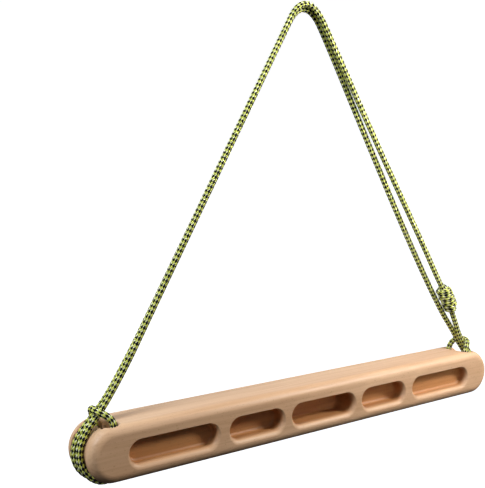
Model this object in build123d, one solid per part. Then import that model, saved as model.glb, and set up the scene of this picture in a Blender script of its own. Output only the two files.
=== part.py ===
from build123d import *
import os
from math import cos, pi, radians, sin, tan

# Portable wooden hangboard hung in a doubled cord sling.
#
# One milled beech board with five finger pockets hangs from one closed loop of
# 6 mm cord. The loop is doubled over the hook and girth-hitched round both ends
# of the board, and its two ends are joined by a knot on the right leg.
#
# Frame: +X along the board, -Y towards the pockets, +Z up. The origin is the
# point of the hook that the inner strand bears on. Millimetres.

# Board
board_length = 500.0
board_height = 48.0
board_depth = 48.0
edge_radius = 8.0
hook_height = 384.0

# Finger pockets: opening on the front face, and the rounded lower lip
pocket_top = 10.4
pocket_bottom = -16.0
lip_radius = 4.5
rim_radius = 0.8
cove_radius = 3.0
lip_steps = 5
outer_pocket = dict(centre=169.6, length=93.1, depth=10.0)
inner_pocket = dict(centre=81.8, length=66.0, depth=15.0)
middle_pocket = dict(centre=0.0, length=85.2, depth=26.0)

# Cord channel round each end, and the slot at its inner end
channel_width = 30.0
channel_depth = 3.2
channel_cove = 1.6
shoulder_radius = 1.5
slot_centre = 226.0
slot_width = 10.0
slot_length = 36.0
mouth_width = 4.0
mouth_depth = 7.0
mouth_steps = 5

# Cord and knot
cord_diameter = 6.0
knot_diameter = 17.0
hook_bend = 17.0
end_bend = 22.0
corner_bend = 8.0
slot_bend = 5.5
bight_bend = 9.0

half_height = board_height / 2
end_centre = board_length / 2 - half_height
front = -board_depth / 2

# Cord routes, from the centre of the board: x, y, z
front_strand = [
    (-219.9, -6.0, 44.6),
    (-11.0, -3.2, 390.5),
    (11.5, -3.2, 390.5),
    (96.0, -3.8, 254.0),
    (163.5, -4.6, 149.0),
    (198.6, -5.0, 97.5),
]
front_strand_end = [
    (207.8, -5.0, 74.0),
    (213.0, -5.4, 61.0),
    (221.2, -6.0, 44.6),
]
rear_strand = [
    (-219.9, 6.0, 44.6),
    (-9.5, 3.2, 387.0),
    (13.5, 3.2, 387.0),
    (89.5, 3.8, 256.0),
    (151.0, 4.6, 151.0),
    (222.0, 6.0, 44.6),
]
tail_upper = [
    (202.5, -13.0, 93.0),
    (190.5, -14.0, 101.0),
    (184.5, -13.5, 95.5),
]
tail_lower = [
    (201.0, -9.5, 80.0),
    (206.0, -13.0, 68.0),
    (214.0, -13.5, 63.0),
]
# One side of a hitch, from the standing strand round the board's end and up the slot
hitch_turn = [
    (224.3, 6.0, 37.8),
    (250.5, 7.0, 8.9),
    (249.8, 7.0, -10.6),
    (238.0, 7.0, -24.3),
    (227.5, 7.5, -24.3),
    (226.3, 12.9, 14.0),
]
hitch_turn_radii = [end_bend, end_bend, corner_bend, slot_bend]
# The bight that comes up out of the slot and lies across the standing strands
hitch_bight = [
    (226.3, 12.9, 14.0),
    (225.9, 14.73, 27.0),
    (232.2, 12.8, 39.4),
]


def on_frame(points):
    """Moves points given from the board's centre into the part's frame."""
    return [Vector(x, y, z - hook_height) for x, y, z in points]


def upright_slot(length, height, x, y, z):
    """A round-ended face that stands in a plane across Y, its normal along +Y."""
    plane = Plane(origin=(x, y, z), x_dir=(1, 0, 0), z_dir=(0, 1, 0))
    return plane * SlotOverall(length, height)


def pocket_cutters(centre, length, depth):
    """The two solids of a finger pocket: the coved hollow and the rounded mouth."""
    opening = pocket_top - pocket_bottom
    shrink = lip_radius + rim_radius
    middle = (pocket_top + pocket_bottom) / 2 + (lip_radius - rim_radius) / 2
    back = upright_slot(length - shrink, opening - shrink, centre, front + lip_radius, middle)
    hollow = extrude(back, depth - lip_radius, dir=(0, 1, 0))
    hollow = fillet(hollow.faces().sort_by(Axis.Y)[-1].edges(), cove_radius)
    sections = []
    for step in range(lip_steps + 1):
        angle = pi / 2 * step / lip_steps
        lip = lip_radius * (1 - cos(angle))
        rim = rim_radius * (1 - cos(angle))
        sections.append(upright_slot(
            length - shrink + lip + rim,
            opening - shrink + lip + rim,
            centre,
            front + lip_radius * (1 - sin(angle)),
            middle + (rim - lip) / 2,
        ))
    return [hollow, loft(sections)]


def channel_cutter(side):
    """The shallow cord channel that runs round one end of the board."""
    floor = half_height - channel_depth
    inner = channel_width / 2
    outer = inner + shoulder_radius
    rim = half_height + 0.05
    sky = half_height + 10
    outline = FilletPolyline(
        (-outer, sky), (-outer, rim), (-inner, rim), (-inner, floor),
        (inner, floor), (inner, rim), (outer, rim), (outer, sky),
        radius=[0, shoulder_radius * 0.9, channel_cove, channel_cove, shoulder_radius * 0.9, 0],
    )
    profile = make_face(outline + Line((outer, sky), (-outer, sky)))
    centre = side * end_centre
    section = Plane(origin=(centre, 0, 0), x_dir=(0, 1, 0), z_dir=(1, 0, 0)) * profile
    return revolve(section, Axis((centre, 0, 0), (0, side, 0)), 180)


def slot_cutters(side):
    """The solids of the upright slot through the board, with its two flared mouths."""
    centre = side * slot_centre
    shape = Rot(0, 0, 90) * SlotOverall(slot_length, slot_width)
    through = extrude(Pos(centre, 0, -board_height) * shape, 2 * board_height)
    sections = []
    for step in range(mouth_steps + 1):
        angle = pi / 2 * step / mouth_steps
        spread = 2 * mouth_width * (1 - cos(angle))
        level = half_height - mouth_depth * (1 - sin(angle))
        grown = Rot(0, 0, 90) * SlotOverall(slot_length + spread, slot_width + spread)
        sections.append(Pos(centre, 0, level) * grown)
    mouth = loft(sections)
    return [through, mouth, mirror(mouth, Plane.XY)]


def make_board():
    """The board: a round-ended bar with rounded edges, pockets, slots and channels."""
    face = upright_slot(board_length, board_height, 0, front, 0)
    board = extrude(face, board_depth, dir=(0, 1, 0))
    ends = board.faces().filter_by(Axis.Y)
    board = fillet([edge for end in ends for edge in end.edges()], edge_radius)
    cutters = pocket_cutters(**middle_pocket)
    for side in (-1, 1):
        for pocket in (outer_pocket, inner_pocket):
            cutters += pocket_cutters(side * pocket["centre"], pocket["length"], pocket["depth"])
        cutters.append(channel_cutter(side))
        cutters += slot_cutters(side)
    for cutter in cutters:
        board -= cutter
    return Pos(0, 0, -hook_height) * board


def easy_radii(points):
    """The widest arc that the two runs beside each corner leave room for."""
    radii = []
    for before, corner, after in zip(points, points[1:], points[2:]):
        arriving = Vector(corner) - Vector(before)
        leaving = Vector(after) - Vector(corner)
        half_turn = radians(arriving.get_angle(leaving)) / 2
        shorter = min(arriving.length, leaving.length)
        radii.append(round(0.45 * shorter / tan(half_turn), 1))
    return radii


def cord(name, points, radii):
    """A tube of cord along straight runs joined by tangent arcs."""
    route = on_frame(points)
    path = FilletPolyline(*route, radius=radii)
    start = Plane(origin=path @ 0, z_dir=path % 0)
    tube = sweep(start * Circle(cord_diameter / 2), path=path)
    expected = pi * cord_diameter ** 2 / 4 * path.length
    print(f"{name}: length {path.length:.1f} mm, radii {radii}, volume ratio {tube.volume / expected:.4f}")
    return tube


def mirrored(points, side, face):
    """Points of a hitch moved to the left or right end, front or rear."""
    return [(side * x, face * y, z) for x, y, z in points]


def make_knot():
    """The joining knot's outer shape, a short rounded barrel in line with the strand."""
    top = on_frame(front_strand)[-1]
    bottom = on_frame(front_strand_end)[0]
    middle = (top + bottom) * 0.5
    barrel = Plane(origin=middle, z_dir=top - bottom) * Cylinder(knot_diameter / 2, (top - bottom).length)
    return fillet(barrel.edges(), knot_diameter / 2 - 1.5)


def make_cords():
    """Every stretch of cord, by node name."""
    over_hook = [hook_bend, hook_bend]
    cords = {
        "front_strand": cord("front_strand", front_strand, over_hook + easy_radii(front_strand)[2:]),
        "front_strand_end": cord("front_strand_end", front_strand_end, easy_radii(front_strand_end)),
        "rear_strand": cord("rear_strand", rear_strand, over_hook + easy_radii(rear_strand)[2:]),
        "knot_tail_upper": cord("knot_tail_upper", tail_upper, easy_radii(tail_upper)),
        "knot_tail_lower": cord("knot_tail_lower", tail_lower, easy_radii(tail_lower)),
    }
    for end, side in (("left", -1), ("right", 1)):
        for row, face in (("front", -1), ("rear", 1)):
            name = f"{end}_{row}_turn"
            cords[name] = cord(name, mirrored(hitch_turn, side, face), hitch_turn_radii)
        bight = mirrored(hitch_bight, side, -1) + mirrored(hitch_bight, side, 1)[::-1]
        cords[f"{end}_bight"] = cord(f"{end}_bight", bight, [bight_bend] * 4)
    return cords


os.makedirs("parts", exist_ok=True)
nodes = {"board": make_board(), "joining_knot": make_knot()}
nodes.update(make_cords())
for node, solid in nodes.items():
    export_step(solid, f"parts/{node}.step")
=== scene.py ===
"""Looks of the portable hangboard: camera, cord, wood, floor and light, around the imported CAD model.

Lengths are millimetres and places are from the centre of the board, as in the CAD source,
where a comment doesn't say otherwise.
"""

import math

import bmesh
import bpy
from mathutils import Matrix, Vector


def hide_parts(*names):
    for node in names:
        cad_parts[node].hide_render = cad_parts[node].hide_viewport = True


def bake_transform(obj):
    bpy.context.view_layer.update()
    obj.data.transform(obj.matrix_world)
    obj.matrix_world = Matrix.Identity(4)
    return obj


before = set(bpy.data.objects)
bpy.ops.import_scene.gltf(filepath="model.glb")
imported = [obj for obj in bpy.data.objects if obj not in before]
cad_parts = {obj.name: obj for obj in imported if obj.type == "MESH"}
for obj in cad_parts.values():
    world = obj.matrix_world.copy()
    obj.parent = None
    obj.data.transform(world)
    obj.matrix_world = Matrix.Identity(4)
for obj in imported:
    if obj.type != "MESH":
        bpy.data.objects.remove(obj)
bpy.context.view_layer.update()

MM = 0.001
HOOK_HEIGHT = 384.0

# Camera, fitted to the photograph
CAMERA_PLACE = (-523.17, -612.74, 220.24)
CAMERA_FORWARD = (0.58559, 0.80717, -0.07457)
CAMERA_UP = (0.05837, 0.04976, 0.99705)
CAMERA_LENS = 60.31
CAMERA_SENSOR = 36.0
CLIP_METRES = (0.05, 50.0)

# Cord: its diameter, and how many steps its line takes from one point of the route to the next
CORD_DIAMETER = 6.0
LINE_STEPS = 8
# Its braid: carriers each way round, the length and the mesh steps of a pick, and the picks' height
CARRIERS = 6
PICK_LENGTH = 4.95
PICK_STEPS = 4
AROUND = CARRIERS * PICK_STEPS
VALLEY_RADIUS = 2.62
PICK_RISE = 0.5
# How far into the rounding of a cut end its first ring lies, as a share of the cord's radius
TIP_START = 0.15
# The yarns, in the order of the cord's materials: lime, black, and a pale painted glint
LIME, BLACK, PAINTED_GLINT = range(3)

# Standing strands, from the left hitch over the hook to the right
FRONT_LEFT_LEG = [
    (-221.3, -2.9, 44.0),
    (-201.4, -2.9, 73.4),
    (-184.6, -2.8, 102.0),
    (-28.4, -2.8, 360.2),
    (-11.0, -3.2, 390.5),
    (11.5, -3.2, 390.5),
    (31.4, -3.4, 359.4),
    (96.0, -3.8, 254.0),
    (163.0, -4.6, 149.0),
    (186.0, -5.0, 110.5),
]
REAR_LEG = [
    (-219.9, 2.9, 43.2),
    (-199.8, 2.9, 72.6),
    (-182.0, 2.8, 100.6),
    (-25.2, 2.8, 359.4),
    (-7.6, 3.2, 387.0),
    (13.0, 3.2, 387.0),
    (30.0, 3.4, 361.6),
    (90.0, 3.8, 256.0),
    (151.0, 4.2, 151.0),
    (198.6, 3.6, 75.0),
    (223.6, 2.9, 43.4),
]
FRONT_END_LEG = [
    (212.2, -3.8, 68.4),
    (219.4, -3.2, 54.8),
    (224.2, -2.9, 43.6),
]
# Each strand's way round the board's right end, from above to half-way up the slot
FRONT_TURN = [
    (232.8, -3.0, 29.8),
    (241.6, -3.2, 20.6),
    (248.3, -3.9, 10.8),
    (250.7, -4.5, 0.2),
    (248.6, -4.9, -10.4),
    (242.0, -5.6, -19.2),
    (234.0, -6.5, -24.2),
    (226.6, -7.4, -24.4),
    (225.9, -8.6, -16.0),
    (226.0, -11.0, -4.0),
]
REAR_TURN = [
    (232.8, 2.9, 29.4),
    (241.6, 3.4, 20.4),
    (248.3, 4.9, 10.8),
    (250.7, 6.0, 0.2),
    (248.6, 6.4, -10.4),
    (242.0, 6.8, -19.2),
    (234.0, 7.1, -24.2),
    (226.6, 7.6, -24.4),
    (225.9, 8.6, -16.0),
    (226.0, 11.0, -4.0),
]
# The bight over the standing strands, from the slot's front mouth to its rear one
BIGHT = [
    (225.6, -13.6, 7.0),
    (222.6, -14.4, 19.0),
    (223.8, -14.4, 26.2),
    (228.6, -12.2, 31.6),
    (233.0, -8.6, 34.2),
    (234.9, -3.0, 35.2),
    (233.9, 4.0, 35.0),
    (231.9, 10.2, 32.2),
    (228.6, 13.6, 26.0),
    (226.2, 13.8, 13.0),
]
# Joining knot: its centre, its axis downwards, and the radius of its wraps, less at their outer end
KNOT_CENTRE = (202.6, -5.0, 85.5)
KNOT_DOWN = (0.49, 0.0, -0.872)
KNOT_WRAP_RADIUS = 6.2
KNOT_TAPER = 1.1
WRAP_POINTS = 12
# One cord end's way in: along the knot's axis, out to the free side, and across to the rear
KNOT_IN = [
    (-9.0, 0.3, 0.5),
    (2.0, 2.0, 0.8),
    (10.5, 2.6, 1.0),
    (15.6, 2.6, -1.2),
]
# The wraps of each end: first and last angle in degrees, outer and inner place along the axis
UPPER_WRAPS = (100, 920, 12.9, 1.5)
LOWER_WRAPS = (60, 1040, 13.2, 1.5)
# Each tail's way out, in the same directions as the way in
UPPER_TAIL = [
    (-1.0, -1.0, 3.0),
    (6.0, 0.8, 2.6),
    (13.0, 2.4, 3.6),
    (18.5, 3.4, 4.8),
]
LOWER_TAIL = [
    (-0.5, 1.0, 1.0),
    (5.0, -3.2, 0.5),
    (11.0, -5.0, -1.0),
    (15.8, -6.8, -3.6),
]

# Wood: colours as they look on screen, and marks per metre along X, Y and Z
PALE_WOOD = (226, 188, 152)
TAN_WOOD = (211, 167, 128)
BROWN_WOOD = (160, 108, 72)
# Painted shade inside the pockets: the darker, warmer colour multiplied in there, and how much of it
POCKET_SHADE_COLOUR = (224, 188, 134)
POCKET_SHADE_STRENGTH = 0.85
BROAD_MARKS = (3.0, 38.0, 38.0)
STREAKS = (9.0, 420.0, 420.0)
PORES = (160.0, 3000.0, 3000.0)
RAY_FLECKS = (420.0, 2600.0, 900.0)
# Growth rings, in metres of the part's frame: their pith, how many to a metre, how far they wander,
# and how strongly they show
PITH_Y = -0.11
PITH_Z = -0.31
RINGS_PER_METRE = 260.0
RING_WANDER = 0.01
WANDER_MARKS = (1.0, 9.0, 9.0)
RING_SHOW = 0.09
RING_SHOW_MARKS = (0.8, 60.0, 60.0)
# The space that all the pockets lie in, and where along Y their painted shade begins, is full and ends
POCKET_HALF_HEIGHT = 18.0
POCKET_HALF_LENGTH = 216.5
POCKET_MOUTH = -23.6
POCKET_FULL_SHADE = -16.0
POCKET_DEEPEST = 4.0

# Cord yarns: marks per metre of the fibres and of the broader patches
FIBRES = (5200.0, 5200.0, 2200.0)
PATCHES = (90.0, 90.0, 90.0)

# Stage: how far its floor lies below the centre of the board
FLOOR_BELOW = 610.0
# Its sizes in metres: a round floor that bends up into a wall, under a ceiling
STAGE_RADIUS = 5.0
STAGE_BEND = 2.0
STAGE_HEIGHT = 6.0
BEND_STEPS = 12
STAGE_SIDES = 96
STAGE_GLOW = 0.97

# Lamps: place and target in metres from the board's centre, diameter, watts, width of the beam in degrees
LAMPS = {
    "key": {
        "at": (0.5, -0.43, 0.43), "target": (0.0, 0.0, 0.0),
        "size": 0.2, "power": 5.1, "spread": 180, "colour": (1.0, 0.96, 0.9),
    },
    "side": {
        "at": (-1.0, -0.22, 0.95), "target": (0.0, 0.0, 0.1),
        "size": 0.5, "power": 12.5, "spread": 180, "colour": (0.92, 0.97, 1.0),
    },
    "sling": {
        "at": (0.15, -1.1, 0.5), "target": (0.15, 0.0, 0.29),
        "size": 0.3, "power": 0.56, "spread": 26, "colour": (1.0, 1.0, 1.0),
    },
}
# Sky: brighter with height, and brighter still behind the board above the horizon
SKY_COLOUR = (0.93, 0.97, 1.0, 1.0)
SKY_HEIGHTS = (-0.3, 0.8)
SKY_LEVELS = (0.02, 0.22)
BEHIND_DEPTHS = (0.0, 0.6)
BEHIND_LEVELS = (0.0, 0.6)
HORIZON = (-0.03, 0.05)


def place(point):
    """A point from the board's centre in millimetres, in the part's frame in metres."""
    x, y, z = point
    return Vector((x, y, z - HOOK_HEIGHT)) * MM


def set_camera():
    """A camera that sees the board as the photograph does."""
    forward = Vector(CAMERA_FORWARD).normalized()
    right = forward.cross(Vector(CAMERA_UP)).normalized()
    up = right.cross(forward)
    data = bpy.data.cameras.new("camera")
    data.lens = CAMERA_LENS
    data.sensor_width = CAMERA_SENSOR
    data.clip_start, data.clip_end = CLIP_METRES
    camera = bpy.data.objects.new("camera", data)
    turn = Matrix((right, up, -forward)).transposed().to_4x4()
    camera.matrix_world = Matrix.Translation(place(CAMERA_PLACE)) @ turn
    bpy.context.scene.collection.objects.link(camera)
    bpy.context.scene.camera = camera


# ---------------------------------------------------------------- cord route

def mirrored(points, side):
    """Points of the right end, moved to the left end where side is -1."""
    return [(side * x, y, z) for x, y, z in points]


def knot_point(along, out, across):
    """A point of the knot: along its axis, out to the free side, and across to the rear."""
    down = Vector(KNOT_DOWN).normalized()
    free = Vector((-down.z, 0.0, down.x))
    return tuple(Vector(KNOT_CENTRE) + down * along + free * out + Vector((0, across, 0)))


def knot_end(flip, wraps, tail):
    """One cord end in the double fisherman's knot: through it, the wraps back, and out."""
    first_angle, last_angle, outer, inner = wraps
    steps = round((last_angle - first_angle) / 360 * WRAP_POINTS)
    local = list(KNOT_IN)
    for step in range(steps + 1):
        share = step / steps
        angle = math.radians(first_angle + (last_angle - first_angle) * share)
        along = outer + (inner - outer) * share
        radius = KNOT_WRAP_RADIUS - KNOT_TAPER * (1 - share) ** 2
        local.append((along, radius * math.cos(angle), -radius * math.sin(angle)))
    local += tail
    return [knot_point(flip * along, out, flip * across) for along, out, across in local]


def hitch(side, from_row):
    """A girth hitch on one end of the board, entered by the rear or the front strand."""
    rear = mirrored(REAR_TURN, side)
    front = mirrored(FRONT_TURN, side)
    bight = mirrored(BIGHT, side)
    whole = front + bight + rear[::-1]
    return whole if from_row == "front" else whole[::-1]


def cord_route():
    """The whole cord: from its tail out of the knot's foot, round both ends and back to the knot."""
    lower_end = knot_end(-1, LOWER_WRAPS, LOWER_TAIL)[::-1]
    upper_end = knot_end(1, UPPER_WRAPS, UPPER_TAIL)
    route = lower_end + FRONT_END_LEG
    route += hitch(1, "front") + REAR_LEG[::-1]
    route += hitch(-1, "rear") + FRONT_LEFT_LEG
    return [place(p) for p in route + upper_end]


def smooth_line(points):
    """The points of the order-3 NURBS line that the cord follows."""
    curve = bpy.data.curves.new("cord_line", "CURVE")
    curve.dimensions = "3D"
    curve.resolution_u = LINE_STEPS
    spline = curve.splines.new("NURBS")
    spline.points.add(len(points) - 1)
    for target, point in zip(spline.points, points):
        target.co = (*point, 1.0)
    spline.order_u = 3
    spline.use_endpoint_u = True
    carrier = bpy.data.objects.new("cord_line", curve)
    mesh = bpy.data.meshes.new_from_object(carrier)
    line = [vertex.co.copy() for vertex in mesh.vertices]
    bpy.data.meshes.remove(mesh)
    bpy.data.curves.remove(curve)
    return line


def evenly(line, step):
    """The line again with points a step apart, and its length."""
    lengths = [0.0]
    for before, after in zip(line, line[1:]):
        lengths.append(lengths[-1] + (after - before).length)
    total = lengths[-1]
    count = round(total / step)
    spaced = []
    span = 0
    for index in range(count + 1):
        distance = total * index / count
        while span < len(line) - 2 and lengths[span + 1] < distance:
            span += 1
        width = max(lengths[span + 1] - lengths[span], 1e-9)
        spaced.append(line[span].lerp(line[span + 1], min(1.0, (distance - lengths[span]) / width)))
    return spaced, total


def carried_frames(line):
    """A pair of directions across the line at each point, turned as little as possible."""
    frames = []
    across = None
    for index in range(len(line)):
        ahead = (line[min(index + 1, len(line) - 1)] - line[max(index - 1, 0)]).normalized()
        if across is None:
            across = ahead.orthogonal().normalized()
        across = (across - ahead * across.dot(ahead)).normalized()
        frames.append((across, ahead.cross(across)))
    return frames


# ---------------------------------------------------------------- cord mesh

def pick_height(one_way, other_way):
    """How high the braid stands at a place counted in carriers each way round."""
    over = (math.floor(one_way) + math.floor(other_way)) % 2 == 0
    width = one_way % 1 if over else other_way % 1
    along = other_way % 1 if over else one_way % 1
    crown = math.sqrt(max(0.0, 1 - (2 * width - 1) ** 2))
    return crown * (1 - (2 * along - 1) ** 4)


def pick_colour(column, row):
    """The yarn that shows at a cell of the braid, or the painted glint along one side of a lime pick."""
    one_way = (column - row - 1) // 2
    other_way = (column + row + 1) // 2
    if (one_way // PICK_STEPS + other_way // PICK_STEPS) % 2 == 0:
        return BLACK
    # Painted glint: the last strip of every lime pick takes the near-white colour of a highlight
    return PAINTED_GLINT if one_way % PICK_STEPS == PICK_STEPS - 1 else LIME


def ring_columns(row):
    """The columns that a ring has points in: every other one, the odd rings between the even ones."""
    return [2 * spot + row % 2 for spot in range(AROUND)]


def point_number(column, row):
    """The number of the point in a column of a ring, counted through all the rings."""
    return row * AROUND + ((column - row % 2) // 2) % AROUND


def braid_points(rings, row_step):
    """The points of the braid's surface, ring by ring, with both ends rounded off."""
    vertices = []
    last = len(rings) - 1
    for row, (centre, (across, over)) in enumerate(zip(rings, carried_frames(rings))):
        from_tip = min(row, last - row) * row_step / (CORD_DIAMETER / 2 * MM)
        closing = math.sqrt(1 - (1 - min(1.0, from_tip + TIP_START)) ** 2)
        for column in ring_columns(row):
            one_way = (column - row) / (2 * PICK_STEPS)
            other_way = (column + row) / (2 * PICK_STEPS)
            radius = (VALLEY_RADIUS + PICK_RISE * pick_height(one_way, other_way)) * closing * MM
            angle = math.pi * column / AROUND
            vertices.append(centre + (across * math.cos(angle) + over * math.sin(angle)) * radius)
    return vertices


def braid_sides(last):
    """The diamonds of the braid, and the yarn of each."""
    faces, colours = [], []
    for row in range(last - 1):
        for column in ring_columns(row):
            faces.append((
                point_number(column, row), point_number(column + 1, row + 1),
                point_number(column, row + 2), point_number(column - 1, row + 1),
            ))
            colours.append(pick_colour(column, row))
    return faces, colours


def braid_tip(row, step, tip):
    """The triangles that close the braid at its first or last ring, round the point numbered tip."""
    faces = []
    for column in ring_columns(row):
        inner = point_number(column + 1, row + step)
        one, other = point_number(column, row), point_number(column + 2, row)
        pair = [(one, other, inner), (tip, other, one)]
        faces += pair if step > 0 else [face[::-1] for face in pair]
    return faces


def braided_tube(name, line, materials):
    """A braided cord along the line: each pick of the braid is a raised diamond of its yarn's colour."""
    row_step = PICK_LENGTH * MM / (2 * PICK_STEPS)
    rings, total = evenly(line, row_step)
    last = len(rings) - 1
    vertices = braid_points(rings, row_step)
    faces, colours = braid_sides(last)
    for row, step in ((0, 1), (last, -1)):
        closing = braid_tip(row, step, len(vertices))
        vertices.append(rings[row].copy())
        faces += closing
        colours += [BLACK] * len(closing)
    mesh = bpy.data.meshes.new(name)
    mesh.from_pydata(vertices, [], faces)
    mesh.polygons.foreach_set("use_smooth", [True] * len(faces))
    for material in materials:
        mesh.materials.append(material)
    mesh.polygons.foreach_set("material_index", colours)
    mesh.update()
    tube = bpy.data.objects.new(name, mesh)
    bpy.context.scene.collection.objects.link(tube)
    return tube, rings, total


# ---------------------------------------------------------------- materials

class Nodes:
    """Short calls for building a node material."""

    def __init__(self, name):
        self.material = bpy.data.materials.new(name)
        self.material.use_nodes = True
        self.tree = self.material.node_tree
        self.shader = self.tree.nodes["Principled BSDF"]

    def feed(self, node, socket, value):
        """Links an output to a node's socket, or sets the socket to a number or a colour."""
        if isinstance(value, bpy.types.NodeSocket):
            self.tree.links.new(value, node.inputs[socket])
        else:
            node.inputs[socket].default_value = value

    def plug(self, socket, value):
        self.feed(self.shader, socket, value)

    def add(self, kind, inputs=None, **settings):
        node = self.tree.nodes.new(kind)
        for key, value in settings.items():
            setattr(node, key, value)
        for socket, value in (inputs or {}).items():
            self.feed(node, socket, value)
        return node

    def place(self):
        """A place on the piece, in metres."""
        return self.add("ShaderNodeTexCoord").outputs["Object"]

    def math(self, operation, first, second=0.0):
        return self.add("ShaderNodeMath", {0: first, 1: second}, operation=operation).outputs[0]

    def spread(self, value, low, high, to_low=0.0, to_high=1.0):
        inputs = {"Value": value, "From Min": low, "From Max": high, "To Min": to_low, "To Max": to_high}
        return self.add("ShaderNodeMapRange", inputs).outputs[0]

    def mix(self, share, first, second, blend="MIX"):
        inputs = {0: share, 6: first, 7: second}
        return self.add("ShaderNodeMix", inputs, data_type="RGBA", blend_type=blend).outputs[2]

    def noise(self, per_metre, detail, rough=0.5):
        """Noise with so many marks per metre along X, Y and Z."""
        spot = self.add("ShaderNodeMapping", {"Vector": self.place(), "Scale": per_metre}).outputs[0]
        inputs = {"Vector": spot, "Scale": 1.0, "Detail": detail, "Roughness": rough}
        return self.add("ShaderNodeTexNoise", inputs).outputs["Fac"]

    def bump(self, height, strength, distance):
        inputs = {"Height": height, "Strength": strength, "Distance": distance}
        return self.add("ShaderNodeBump", inputs).outputs[0]


def rgb(red, green, blue):
    """A colour given as it looks on screen, 0 to 255, in the shader's linear values."""
    def linear(value):
        value /= 255
        return value / 12.92 if value <= 0.04045 else ((value + 0.055) / 1.055) ** 2.4
    return (linear(red), linear(green), linear(blue), 1.0)


def yarn(name, colour, deep, roughness, sheen):
    """Fine polyester filaments of one colour, a little darker in the gaps."""
    nodes = Nodes(name)
    fibres = nodes.noise(FIBRES, 2.0)
    patches = nodes.noise(PATCHES, 2.0)
    fine = nodes.spread(fibres, 0.35, 0.65, 0.0, 0.6)
    broad = nodes.spread(patches, 0.35, 0.65, 0.0, 0.4)
    nodes.plug("Base Color", nodes.mix(nodes.math("ADD", fine, broad), deep, colour))
    nodes.plug("Roughness", roughness)
    nodes.plug("Sheen Weight", sheen)
    nodes.plug("Specular IOR Level", 0.3)
    nodes.plug("Normal", nodes.bump(fibres, 0.35, 0.0001))
    return nodes.material


def growth_rings(nodes, y, z):
    """How strongly the dark late wood of a growth ring shows at a place."""
    sideways = nodes.math("SUBTRACT", y, PITH_Y)
    upward = nodes.math("SUBTRACT", z, PITH_Z)
    square = nodes.math(
        "ADD", nodes.math("MULTIPLY", sideways, sideways), nodes.math("MULTIPLY", upward, upward),
    )
    wander = nodes.math("MULTIPLY", nodes.noise(WANDER_MARKS, 1.0), RING_WANDER)
    from_pith = nodes.math("ADD", nodes.math("SQRT", square), wander)
    through_ring = nodes.math("FRACT", nodes.math("MULTIPLY", from_pith, RINGS_PER_METRE))
    darkening = nodes.spread(through_ring, 0.45, 0.95)
    ending = nodes.spread(through_ring, 1.0, 0.95)
    show = nodes.spread(nodes.noise(RING_SHOW_MARKS, 2.0), 0.3, 0.7, 0.0, RING_SHOW)
    return nodes.math("MULTIPLY", nodes.math("MULTIPLY", darkening, ending), show)


def painted_pocket_shade(nodes, x, y, z):
    """How much painted shade a place has: none on the faces, all of it inside a pocket."""
    from_middle = nodes.math("ABSOLUTE", nodes.math("ADD", z, HOOK_HEIGHT * MM))
    in_height = nodes.math("LESS_THAN", from_middle, POCKET_HALF_HEIGHT * MM)
    in_length = nodes.math("LESS_THAN", nodes.math("ABSOLUTE", x), POCKET_HALF_LENGTH * MM)
    in_front = nodes.math("LESS_THAN", y, POCKET_DEEPEST * MM)
    past_mouth = nodes.spread(y, POCKET_MOUTH * MM, POCKET_FULL_SHADE * MM)
    in_depth = nodes.math("MULTIPLY", past_mouth, in_front)
    inside = nodes.math("MULTIPLY", in_depth, nodes.math("MULTIPLY", in_height, in_length))
    return nodes.math("MULTIPLY", inside, POCKET_SHADE_STRENGTH)


def beech(name):
    """Pale beech with its grain along X: soft streaks, faint growth rings, pores, short ray flecks, and
    painted shade in the pockets.
    """
    nodes = Nodes(name)
    x, y, z = nodes.add("ShaderNodeSeparateXYZ", {"Vector": nodes.place()}).outputs
    streaks = nodes.noise(STREAKS, 4.0, 0.6)
    pores = nodes.noise(PORES, 2.0)
    dark_marks = (
        growth_rings(nodes, y, z),
        nodes.spread(streaks, 0.42, 0.78, 0.0, 0.3),
        nodes.spread(nodes.noise(RAY_FLECKS, 1.0), 0.66, 0.74, 0.0, 0.35),
        nodes.spread(pores, 0.62, 0.8, 0.0, 0.25),
    )
    broad = nodes.spread(nodes.noise(BROAD_MARKS, 3.0), 0.32, 0.68)
    colour = nodes.mix(broad, rgb(*PALE_WOOD), rgb(*TAN_WOOD))
    for marks in dark_marks:
        colour = nodes.mix(marks, colour, rgb(*BROWN_WOOD))
    # Painted shade: the wood inside the pockets is multiplied by a darker pocket colour
    colour = nodes.mix(painted_pocket_shade(nodes, x, y, z), colour, rgb(*POCKET_SHADE_COLOUR), "MULTIPLY")
    nodes.plug("Base Color", colour)
    nodes.plug("Roughness", nodes.spread(streaks, 0.3, 0.7, 0.42, 0.54))
    nodes.plug("Specular IOR Level", 0.5)
    relief = nodes.math("ADD", streaks, nodes.math("MULTIPLY", pores, 0.6))
    nodes.plug("Normal", nodes.bump(relief, 0.12, 0.0002))
    return nodes.material


# ---------------------------------------------------------------- pieces

def make_cord():
    """The whole braided cord, in place of every cord solid of the CAD model."""
    yarns = [
        yarn("yarn_lime", rgb(230, 233, 116), rgb(176, 186, 56), 0.7, 0.2),
        yarn("yarn_black", rgb(15, 16, 10), rgb(5, 6, 4), 0.8, 0.0),
        # Painted glint: a near-white colour for one strip of each lime pick
        yarn("yarn_painted_glint", rgb(252, 252, 226), rgb(232, 235, 176), 0.7, 0.2),
    ]
    line = smooth_line(cord_route())
    tube, rings, total = braided_tube("cord", line, yarns)
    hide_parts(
        "front_strand", "front_strand_end", "rear_strand",
        "joining_knot", "knot_tail_upper", "knot_tail_lower",
        "left_front_turn", "left_rear_turn", "left_bight",
        "right_front_turn", "right_rear_turn", "right_bight",
    )
    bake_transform(tube)


def dress_board():
    """The CAD board in beech."""
    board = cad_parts["board"]
    material = beech("beech")
    for slot in board.material_slots:
        slot.material = material


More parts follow.
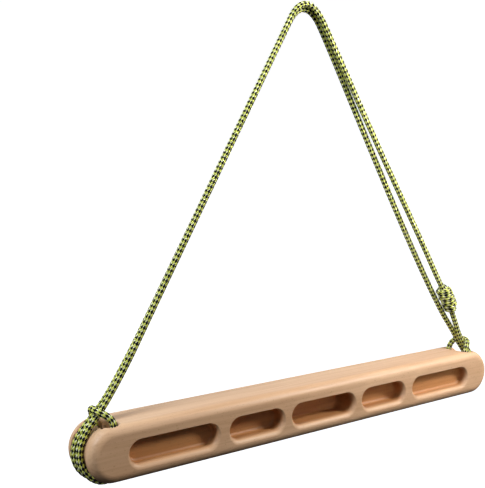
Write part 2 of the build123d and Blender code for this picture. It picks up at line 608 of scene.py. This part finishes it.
def make_stage():
    """A pale floor, wall and ceiling all round, seen by the camera but casting no light back."""
    profile = [(0.0, 0.0)]
    for step in range(BEND_STEPS + 1):
        angle = math.pi / 2 * step / BEND_STEPS
        profile.append((
            STAGE_RADIUS + STAGE_BEND * math.sin(angle),
            STAGE_BEND * (1 - math.cos(angle)),
        ))
    profile += [(STAGE_RADIUS + STAGE_BEND, STAGE_HEIGHT), (0.0, STAGE_HEIGHT)]
    form = bmesh.new()
    middle = place((0, 0, -FLOOR_BELOW))
    corners = [form.verts.new(middle + Vector((radius, 0, z))) for radius, z in profile]
    edges = [form.edges.new(pair) for pair in zip(corners, corners[1:])]
    bmesh.ops.spin(
        form, geom=edges, cent=middle, axis=(0, 0, 1), angle=2 * math.pi,
        steps=STAGE_SIDES, use_merge=True,
    )
    bmesh.ops.remove_doubles(form, verts=form.verts, dist=MM)
    mesh = bpy.data.meshes.new("floor")
    form.to_mesh(mesh)
    form.free()
    mesh.polygons.foreach_set("use_smooth", [True] * len(mesh.polygons))
    paint = Nodes("floor_white")
    paint.plug("Base Color", (0.5, 0.5, 0.5, 1.0))
    paint.plug("Roughness", 1.0)
    paint.plug("Specular IOR Level", 0.0)
    paint.plug("Emission Color", (1.0, 1.0, 1.0, 1.0))
    paint.plug("Emission Strength", STAGE_GLOW)
    mesh.materials.append(paint.material)
    floor = bpy.data.objects.new("floor", mesh)
    floor.visible_diffuse = False
    floor.visible_glossy = False
    floor.visible_shadow = False
    bpy.context.scene.collection.objects.link(floor)


def add_lamp(name, at, target, size, power, spread, colour):
    """A round soft lamp that the camera doesn't see."""
    data = bpy.data.lights.new(name, "AREA")
    data.shape = "DISK"
    data.size = size
    data.energy = power
    data.color = colour
    data.spread = math.radians(spread)
    lamp = bpy.data.objects.new(name, data)
    centre = place((0, 0, 0))
    lamp.location = centre + Vector(at)
    aim = centre + Vector(target) - lamp.location
    lamp.rotation_euler = aim.to_track_quat("-Z", "Y").to_euler()
    lamp.visible_camera = False
    bpy.context.scene.collection.objects.link(lamp)


def set_sky():
    """A sky that is dim below, brighter above, and brightest behind the board."""
    world = bpy.data.worlds.new("world")
    bpy.context.scene.world = world
    world.use_nodes = True
    nodes, links = world.node_tree.nodes, world.node_tree.links
    coords = nodes.new("ShaderNodeTexCoord")
    split = nodes.new("ShaderNodeSeparateXYZ")
    links.new(coords.outputs["Generated"], split.inputs[0])

    def ramp(value, ends, levels):
        node = nodes.new("ShaderNodeMapRange")
        links.new(value, node.inputs["Value"])
        for socket, number in zip(("From Min", "From Max", "To Min", "To Max"), ends + levels):
            node.inputs[socket].default_value = number
        return node.outputs[0]

    behind = nodes.new("ShaderNodeMath")
    behind.operation = "MULTIPLY_ADD"
    links.new(ramp(split.outputs["Y"], BEHIND_DEPTHS, BEHIND_LEVELS), behind.inputs[0])
    links.new(ramp(split.outputs["Z"], HORIZON, (0.0, 1.0)), behind.inputs[1])
    links.new(ramp(split.outputs["Z"], SKY_HEIGHTS, SKY_LEVELS), behind.inputs[2])
    links.new(behind.outputs[0], nodes["Background"].inputs["Strength"])
    nodes["Background"].inputs["Color"].default_value = SKY_COLOUR


def set_light():
    """The lamps and the sky, shown with no film-like toning."""
    for name, lamp in LAMPS.items():
        add_lamp(name, **lamp)
    set_sky()
    bpy.context.scene.view_settings.view_transform = "Standard"


set_camera()
make_cord()
dress_board()
make_stage()
set_light()
